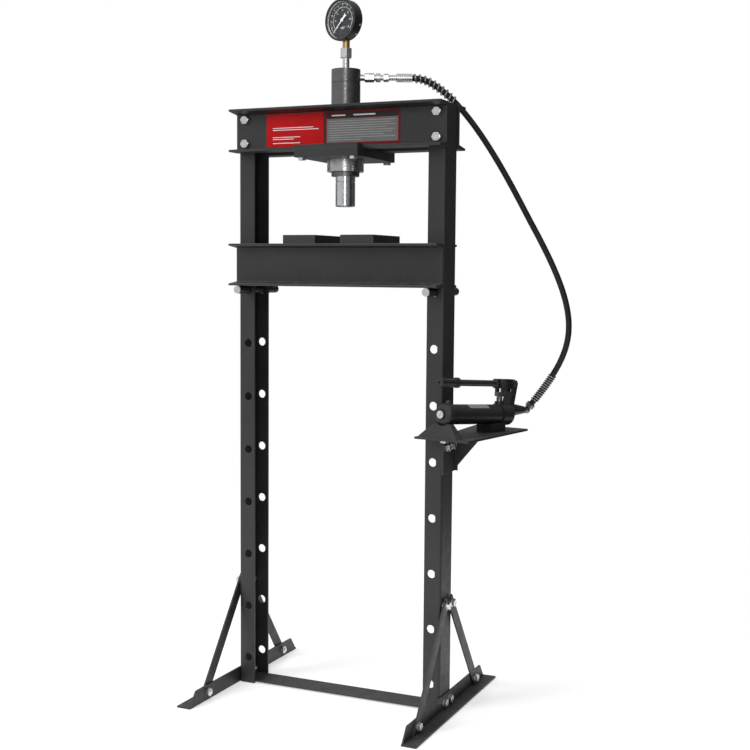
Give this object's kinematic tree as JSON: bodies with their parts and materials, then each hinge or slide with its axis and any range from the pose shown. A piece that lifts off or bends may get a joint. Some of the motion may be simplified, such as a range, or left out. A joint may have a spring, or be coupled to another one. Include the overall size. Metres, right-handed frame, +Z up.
{
  "type": "hydraulic shop press",
  "caption": "Floor-standing hydraulic shop press: channel-steel H-frame, pinned bed with arbor plates, ram cylinder with a dial gauge, and a hose to a hand pump on a side shelf.",
  "frame": {"origin": "on the floor, under the ram's axis, midway between the posts", "axes": "+Z up, +X to the pump's side, +Y to the back; the operator stands at -Y"},
  "size_m": [0.8039, 0.53, 1.65],
  "materials": {
    "frame_paint": "satin black powder coat, slightly textured",
    "pump_paint": "dark grey satin paint",
    "zinc_plate": "bright zinc plate",
    "bright_steel": "turned bright steel",
    "turned_steel": "dark turned steel",
    "hard_chrome": "ground hard chrome",
    "spring_steel": "drawn spring wire",
    "brass": "dull machined brass",
    "gauge_black": "semi-gloss black",
    "gauge_glass": "clear flat glass",
    "needle_white": "matt white",
    "label_red": "printed plate, red",
    "black_rubber": "matt black rubber"
  },
  "bodies": {
    "frame": {"left_post": "frame_paint", "right_post": "frame_paint", "front_head_beam": "frame_paint", "back_head_beam": "frame_paint", "m12_bolts": "zinc_plate", "m12_nuts": "zinc_plate", "washers": "zinc_plate", "m10_bolts": "zinc_plate", "m10_nuts": "zinc_plate", "left_foot": "frame_paint", "right_foot": "frame_paint", "braces": "frame_paint", "cross_bar": "frame_paint", "support_plate": "frame_paint", "clamp_bars": "frame_paint", "cylinder_barrel": "turned_steel", "cylinder_cap": "turned_steel", "ring_nut": "bright_steel", "gland_collar": "turned_steel", "return_spring": "spring_steel", "gauge_adapter": "zinc_plate", "gauge_stem": "brass", "gauge_case": "gauge_black", "gauge_bezel": "gauge_black", "gauge_glass": "gauge_glass", "gauge_dial": "gauge_black", "bourdon_tube": "brass", "front_label": "label_red", "port_adapter": "zinc_plate", "upper_hose_fitting": "zinc_plate", "hose": "black_rubber", "spring_guards": "spring_steel", "outlet_elbow": "zinc_plate", "lower_hose_nut": "zinc_plate", "pump_shelf": "frame_paint", "shelf_bracket": "frame_paint", "reservoir_tube": "pump_paint", "reservoir_cap": "pump_paint", "filler_plug": "zinc_plate", "pump_head": "pump_paint", "pump_stands": "pump_paint", "fulcrum_pin": "bright_steel"},
    "bed": {"front_bed_beam": "frame_paint", "back_bed_beam": "frame_paint", "bed_spacers": "frame_paint"},
    "left_plate": {"left_arbor_plate": "frame_paint"},
    "right_plate": {"right_arbor_plate": "frame_paint"},
    "left_pin": {"left_bed_pin": "bright_steel"},
    "right_pin": {"right_bed_pin": "bright_steel"},
    "ram_assembly": {"ram": "hard_chrome", "ram_nose": "hard_chrome", "piston": "turned_steel", "piston_seal": "black_rubber"},
    "handle": {"pump_lever": "pump_paint"},
    "plunger_assembly": {"plunger": "bright_steel", "plunger_pin": "bright_steel"},
    "needle": {"gauge_needle": "needle_white"},
    "release_screw": {"release_valve": "bright_steel"},
    "suction_check": {"suction_ball": "bright_steel"},
    "delivery_check": {"delivery_ball": "bright_steel"}
  },
  "joints": [
    {"name": "ram_slide", "type": "slide", "parent": "frame", "child": "ram_assembly", "axis": [0, 0, -1], "range_m": [0, 0.15], "stiffness_N_per_m": 300, "springref_m": -0.15, "deforming": ["return_spring"]},
    {"name": "bed_lift", "type": "slide", "parent": "frame", "child": "bed", "axis": [0, 0, 1], "range_m": [0, 0.12]},
    {"name": "left_pin_pull", "type": "slide", "parent": "frame", "child": "left_pin", "axis": [0, -1, 0], "range_m": [0, 0.2]},
    {"name": "right_pin_pull", "type": "slide", "parent": "frame", "child": "right_pin", "axis": [0, -1, 0], "range_m": [0, 0.2]},
    {"name": "left_plate_slide", "type": "slide", "parent": "bed", "child": "left_plate", "axis": [-1, 0, 0], "range_m": [0, 0.05]},
    {"name": "right_plate_slide", "type": "slide", "parent": "bed", "child": "right_plate", "axis": [1, 0, 0], "range_m": [0, 0.05]},
    {"name": "pump_handle", "type": "hinge", "parent": "frame", "child": "handle", "pos_m": [0.36766, 0.15367, 0.75701], "axis": [-0.9317, 0.3633, 0], "range_deg": [0, 30]},
    {"name": "plunger_slide", "type": "slide", "parent": "frame", "child": "plunger_assembly", "axis": [0.0253, 0.065, 0.9976], "range_m": [0, 0.0245]},
    {"name": "release_turn", "type": "hinge", "parent": "frame", "child": "release_screw", "pos_m": [0.35584, 0.12338, 0.67909], "axis": [-0.9317, 0.3633, 0], "range_deg": [0, 540]},
    {"name": "needle_turn", "type": "hinge", "parent": "frame", "child": "needle", "pos_m": [0, 0, 1.602], "axis": [0.2924, 0.9563, 0], "range_deg": [0, 270]},
    {"name": "suction_ball_lift", "type": "slide", "parent": "frame", "child": "suction_check", "axis": [0.0253, 0.065, 0.9976], "range_m": [0, 0.0015]},
    {"name": "delivery_ball_lift", "type": "slide", "parent": "frame", "child": "delivery_check", "axis": [0.0253, 0.065, 0.9976], "range_m": [0, 0.0015]}
  ],
  "couplings": [
    {"joint": "plunger_slide", "follows": "pump_handle", "m_per_rad": 0.04506}
  ]
}
